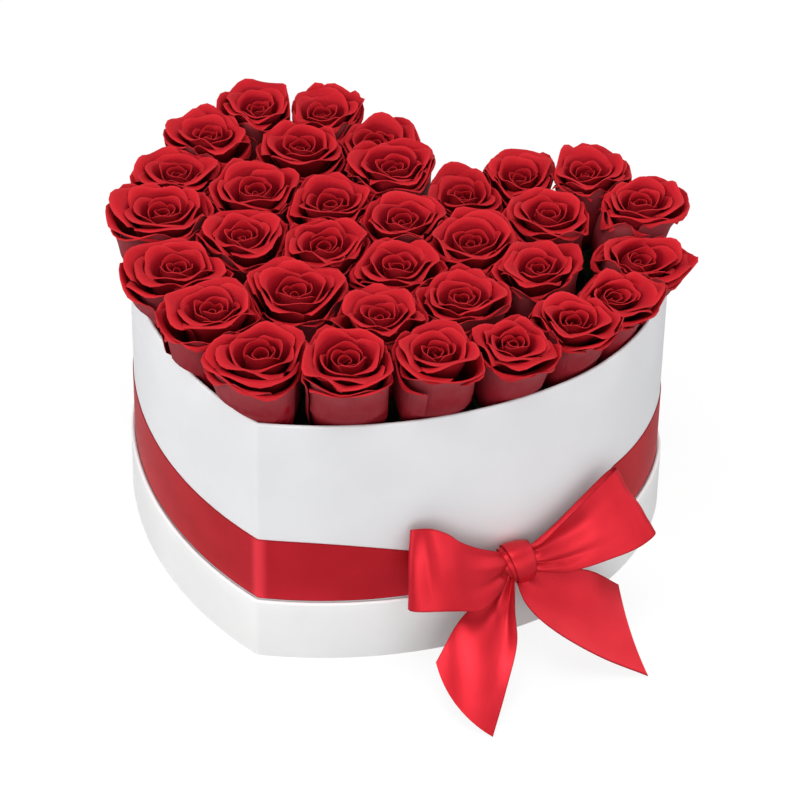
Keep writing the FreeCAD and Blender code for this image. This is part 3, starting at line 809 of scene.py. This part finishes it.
class Room:
    """The plan room of each rose: half way to its neighbours, and up to or over the wall.

    Roses beside the wall of the right half lean outwards, as far as the wall there faces to the right.
    """

    def __init__(self, places):
        self.angles = np.linspace(-math.pi, math.pi, 181)
        within = heart_outline(BOX_INNER - WALL_GAP)
        over = heart_outline(RIM_OVERHANG)
        wall = heart_outline(0.0)
        self.below, self.above, self.size, self.lean = [], [], [], []
        for i, place in enumerate(places):
            gap = np.delete(places, i, axis=0) - place
            half = np.linalg.norm(gap, axis=1) / 2 - PETAL_GAP
            facing = np.cos(self.angles[:, None] - np.arctan2(gap[:, 1], gap[:, 0])[None, :])
            share = np.where(facing > 0.05, half[None, :] / np.maximum(facing, 0.05), 1e3).min(axis=1)
            self.below.append(np.minimum(share, ray_lengths(place, within, self.angles)))
            self.above.append(np.minimum(share, ray_lengths(place, over, self.angles)))
            self.size.append(np.minimum(share, ROOM_SPREAD * share.min()).mean())
            outward = wall[np.argmin(np.linalg.norm(wall - place, axis=1))] - place
            far = np.linalg.norm(outward)
            leans = far < LEAN_NEAR_WALL and place[0] > LEAN_RIGHT_OF
            self.lean.append(RIGHT_LEAN * max(outward[0], 0) / far * leans * outward / far)

    def reach(self, rose, angle, z):
        """Room along an angle at a height: the wall counts below the rim and fades out above it."""
        rise = np.clip((z - RIM_HEIGHT + 1.0) / RIM_FADE, 0, 1)
        rise = rise * rise * (3 - 2 * rise)
        low = np.interp(angle, self.angles, self.below[rose])
        high = np.interp(angle, self.angles, self.above[rose])
        return low + (high - low) * rise

    def rounded(self, rose, reach):
        """Room with its corners drawn in: beyond the rose's size it grows as a hyperbolic tangent."""
        size = self.size[rose]
        grown = 1 + CORNER_SOFTNESS * np.tanh((reach / size - 1) / CORNER_SOFTNESS)
        return np.where(reach < size, reach, size * grown)


def soft_limit(value, knee=0.86):
    """value up to the knee, then closing on 1 as 1 - exp."""
    spare = 1 - knee
    bent = knee + spare * (1 - np.exp(-np.maximum(value - knee, 0) / spare))
    return np.where(value < knee, value, bent)


def bloom(chance, rose, place, base, room):
    """Petals of one rose as grids (petals, rows, columns, 3), innermost first.

    Petals follow each other by the golden angle. Up a petal the section is a cubic Bezier from the foot
    to the neck and then a lip that turns out evenly, so that its reach is
    length * (sin(start) - sin(start - turn)) / turn and its rise is the same with cosines. Across the
    petal (u) the lip shortens as |u|^2.4 and turns further, and the radius grows, so that each petal
    overlaps the next. Radii are shares of the room, which outer petals fill and inner ones round off.
    The first petals close into a heart, then come those of the open bowl, and the last are guards with
    a lower neck and a full belly. Necks rise by POINT_RISE towards the heart-shaped box's point. Above
    the rim a petal moves aside by the rose's lean times the square of its share of LEAN_RUN.
    """
    k = np.arange(PETALS)
    t = (k / (PETALS - 1))[:, None, None]
    u = np.linspace(-1, 1, PETAL_COLUMNS)[None, None, :]
    cup = np.concatenate([np.linspace(0, 1, CUP_ROWS), np.ones(LIP_ROWS)])[None, :, None]
    lip = np.concatenate([np.zeros(CUP_ROWS), np.linspace(0, 1, LIP_ROWS + 1)[1:]])[None, :, None]

    def along(table):
        return np.interp(t, *table)

    def jitter(amount):
        return chance.uniform(-amount, amount, (PETALS, 1, 1))

    size = room.size[rose]
    opened = chance.uniform(0.93, 1.07)
    guard = t > GUARDS_FROM
    neck = along(NECK_SHARE) * size * np.where(guard, 1.0, opened) + jitter(0.6) * t
    neck_z = along(NECK_HEIGHT) + jitter(1.4) * t**0.5 * np.where(guard, 1.7, 1.0) - POINT_RISE * place[1]
    length = along(LIP_LENGTH) * (1 + jitter(0.25))
    start = np.radians(along(NECK_SLOPE)) + jitter(0.08)
    turn = np.radians(along(LIP_TURN)) * (1 + jitter(0.3))
    half = along(HALF_WIDTH) + jitter(0.1)
    foot, foot_z = along(FOOT_RADIUS), along(FOOT_HEIGHT)
    belly = along(BELLY_SHARE) * size
    shift = along(SPIRAL_SHIFT)
    wave = along(LIP_WAVE) * (1 + jitter(0.5))
    facing = GOLDEN_ANGLE * k[:, None, None] + chance.uniform(0, 6.28) + jitter(0.25)
    phase, phase_b = jitter(3.1), jitter(3.1)

    wide = 0.5 + 0.5 * np.sin(np.pi / 2 * np.minimum(cup / 0.8, 1))
    angle = facing + half * (wide - 0.12 * lip * u**2) * u
    margin = np.abs(u)**2.4
    length = length * (1 - 0.5 * margin + 0.3 * np.exp(-(u / 0.2)**2) * t)
    bend = turn * (1 + 0.3 * margin + (0.15 + 0.2 * t) * np.sin(2.3 * np.pi * u + phase))
    tall = neck_z - foot_z
    draw = 0.42 * tall
    w = 1 - cup
    radius = foot * w**3 + 3 * belly * cup * w**2
    radius = radius + 3 * (neck - draw * np.cos(start)) * cup**2 * w + neck * cup**3
    z = foot_z * w**3 + 3 * (foot_z + 0.22 * tall) * cup * w**2
    z = z + 3 * (neck_z - draw * np.sin(start)) * cup**2 * w + neck_z * cup**3
    radius = radius + length * (np.sin(start) - np.sin(start - bend * lip)) / bend
    z = z + length * (np.cos(start - bend * lip) - np.cos(start)) / bend
    z = z * (1 - 0.05 * margin * cup**2) + wave * np.sin(2.1 * np.pi * u + phase_b) * lip
    radius = radius + shift * u * cup + wave * 0.6 * np.cos(1.7 * np.pi * u + phase) * lip
    radius = np.maximum(radius, 0.5)

    reach = room.reach(rose, np.arctan2(np.sin(angle), np.cos(angle)), base + z)
    share = soft_limit(radius / size)
    away = np.minimum(share * (size + (room.rounded(rose, reach) - size) * share**2), reach)
    aside = np.clip((base + z - RIM_HEIGHT - LEAN_START) / LEAN_RUN, 0, 1)
    x, y = (place + room.lean[rose] * (aside**2)[..., None]).transpose(3, 0, 1, 2)
    grid = np.stack([x + away * np.cos(angle), y + away * np.sin(angle), base + z], axis=-1)
    back = np.where(guard, 1.0, 0.5)
    # Height up the petal, which the petal material turns into painted shade deep at the foot
    height = 0.62 * cup + 0.38 * lip
    # Tone: random for each petal, and darker towards the heart of the rose as painted shade
    tone = np.clip(0.35 + 0.8 * t + jitter(0.35), 0, 1)
    # Painted highlight on the lip and on the side edges high up the cup
    edge = np.maximum(np.abs(u) * cup**8, lip) * along(PAINTED_EDGE_LIGHT)
    marks = np.broadcast_arrays(back, height, tone, edge, angle)[:4]
    return grid, np.stack(marks, axis=-1)


def turned_points(profile, count):
    """Profile of (radius, z) pairs turned about the axis, as a grid of rows up and columns round."""
    turn = np.linspace(0, 2 * math.pi, count, endpoint=False)
    radius, z = np.asarray(profile, float).T
    return np.stack([radius[:, None] * np.cos(turn), radius[:, None] * np.sin(turn),
                     np.repeat(z[:, None], count, axis=1)], axis=-1)


def stalk(chance):
    """Cut stem with its hip as a turned profile, and sepals folded down round it as thin sheets."""
    profile = [(0.05, -STEM_LENGTH), (STEM_RADIUS * 0.96, -STEM_LENGTH), (STEM_RADIUS, -STEM_LENGTH + 1),
               (STEM_RADIUS, -HIP_DEPTH - 6), (STEM_RADIUS + 0.5, -HIP_DEPTH), (6.4, -8), (8.6, -4),
               (HIP_RADIUS, -0.5), (0.05, -0.5)]
    grid = turned_points(profile, STEM_SIDES)
    faces = grid_faces(grid.shape[0], STEM_SIDES, False, True)
    v = np.linspace(0, 1, 7)[None, :, None]
    u = np.linspace(-1, 1, 5)[None, None, :]
    facing = (np.arange(SEPALS) * 2 * math.pi / SEPALS + chance.uniform(0, 6.28))[:, None, None]
    angle = facing + 0.5 * u * np.sin(np.pi * np.minimum(0.35 + 0.65 * v, 1)) ** 0.7
    radius = HIP_RADIUS + 0.8 + 1.8 * v**2 - 1.2 * (1 - v)**2 + 0.3 * u**2
    z = 0.5 - SEPAL_LENGTH * v
    leaves = np.stack(np.broadcast_arrays(radius * np.cos(angle), radius * np.sin(angle), z), axis=-1)
    sepals, sepal_faces, _, _ = thick_sheets(leaves[:, ::-1], SEPAL_FILM)
    points = np.vstack([grid.reshape(-1, 3), sepals])
    return points, np.vstack([faces, sepal_faces + grid.shape[0] * STEM_SIDES])


def add_roses():
    """One piece for each rose, on its own body: petals and stem at the middle of its CAD node."""
    boxes = [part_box(name) for name in ROSES]
    places = np.array([[(low.x + high.x) / 2, (low.y + high.y) / 2] for low, high in boxes]) / MM
    feet = np.array([low.z for low, _ in boxes]) / MM
    room = Room(places)
    for i, name in enumerate(ROSES):
        chance = np.random.default_rng(ROSE_SEED + i)
        base = feet[i] + STEM_LENGTH
        grids, marks = bloom(chance, i, places[i], base, room)
        points, faces, side, edge = thick_sheets(grids, PETAL_FILM)
        colours = np.concatenate([marks, marks], axis=1).reshape(-1, 4)
        colours[:, 0] *= side
        u, v = np.meshgrid(np.linspace(0, 1, PETAL_COLUMNS), np.linspace(0, 1, PETAL_ROWS))
        uv = np.tile(np.column_stack([u.ravel(), v.ravel()]), (2 * PETALS, 1))
        stem_points, stem_faces = stalk(chance)
        stem_points = stem_points + np.array([*places[i], base])
        count = len(points)
        index = np.repeat([0, 1], [len(faces), len(stem_faces)])
        blank = np.zeros(len(stem_points))
        make_piece(name, np.vstack([points, stem_points]), np.vstack([faces, stem_faces + count]),
                   [PETAL, STEM], name, [name],
                   uv=np.vstack([uv, np.zeros((len(stem_points), 2))]),
                   marks=np.vstack([colours, np.zeros((len(stem_points), 4))]), finish_index=index,
                   sharp=np.concatenate([np.where(edge, side + 1, 0), blank]))


# Stage


def add_camera():
    """Camera that looks at the target from the fitted azimuth, elevation and distance, then rolls."""
    az, el, roll = VIEW_AZIMUTH, VIEW_ELEVATION, VIEW_ROLL
    ahead = np.array([-math.sin(az) * math.cos(el), math.cos(az) * math.cos(el), -math.sin(el)])
    right = np.array([math.cos(az), math.sin(az), 0.0])
    up = np.cross(right, ahead)
    rolled_right = right * math.cos(roll) + up * math.sin(roll)
    rolled_up = up * math.cos(roll) - right * math.sin(roll)
    camera = bpy.data.objects.new("camera", bpy.data.cameras.new("camera"))
    camera.data.lens, camera.data.sensor_width = VIEW_LENS, 36.0
    camera.data.clip_start, camera.data.clip_end = 0.05, 50.0
    place = (VIEW_TARGET - ahead * VIEW_DISTANCE) * MM
    turn = np.column_stack([rolled_right, rolled_up, -ahead])
    matrix = Matrix([[*turn[i], place[i]] for i in range(3)] + [[0, 0, 0, 1]])
    camera.matrix_world = matrix
    bpy.context.scene.collection.objects.link(camera)
    bpy.context.scene.camera = camera


def seen_directly(tree):
    """1 for rays from the camera or through clear film, 0 for the rest, as a socket."""
    path = tree.nodes.new("ShaderNodeLightPath")
    first = tree.nodes.new("ShaderNodeMath")
    first.operation = "MAXIMUM"
    tree.links.new(path.outputs["Is Camera Ray"], first.inputs[0])
    tree.links.new(path.outputs["Is Transmission Ray"], first.inputs[1])
    return first.outputs[0]


def add_floor():
    """Pale floor: nearly white to the camera, with the shadow left in it, and darker as light."""
    mesh = bpy.data.meshes.new("floor")
    reach = FLOOR_REACH
    corners = [(-reach, -reach, 0), (reach, -reach, 0), (reach, reach, 0), (-reach, reach, 0)]
    mesh.from_pydata(corners, [], [(0, 1, 2, 3)])
    floor = bpy.data.objects.new("floor", mesh)
    bpy.context.scene.collection.objects.link(floor)
    finish = Finish("floor", Roughness=0.9)
    tree = finish.tree
    direct = Value(finish, seen_directly(tree))
    finish.use("Base Color", finish.mix(direct, FLOOR_AS_LIGHT, FLOOR_TO_CAMERA))
    glow = tree.nodes.new("ShaderNodeEmission")
    glow.inputs["Strength"].default_value = 1.0
    blend = tree.nodes.new("ShaderNodeMixShader")
    tree.links.new((direct * FLOOR_GLOW).socket, blend.inputs[0])
    tree.links.new(finish.shader.outputs[0], blend.inputs[1])
    tree.links.new(glow.outputs[0], blend.inputs[2])
    tree.links.new(blend.outputs[0], tree.nodes["Material Output"].inputs["Surface"])
    mesh.materials.append(finish.material)


def add_world():
    """Even white surround: white to the camera, dimmer as light."""
    world = bpy.data.worlds.new("studio")
    bpy.context.scene.world = world
    world.use_nodes = True
    tree = world.node_tree
    background = tree.nodes["Background"]
    background.inputs["Color"].default_value = (1.0, 1.0, 1.0, 1.0)
    strength = tree.nodes.new("ShaderNodeMapRange")
    strength.inputs["To Min"].default_value = WORLD_AS_LIGHT
    strength.inputs["To Max"].default_value = 1.0
    tree.links.new(seen_directly(tree), strength.inputs["Value"])
    tree.links.new(strength.outputs[0], background.inputs["Strength"])


def add_lamp(name, place, target, size, power):
    """Square soft lamp at a place (metres), aimed at a target."""
    lamp = bpy.data.lights.new(name, "AREA")
    lamp.size, lamp.energy = size, power
    holder = bpy.data.objects.new(name, lamp)
    holder.location = place
    holder.rotation_euler = (Vector(target) - Vector(place)).to_track_quat("-Z", "Y").to_euler()
    bpy.context.scene.collection.objects.link(holder)


def add_lights():
    """Every lamp of the table, aimed at the middle of the box."""
    for name, (place, size, power) in LAMPS.items():
        add_lamp(name, place, LAMP_TARGET, size, power)


finish_cad_nodes()
add_wraps()
add_band()
add_bow()
add_roses()
add_camera()
add_floor()
add_world()
add_lights()
bpy.context.scene.view_settings.view_transform = "Standard"
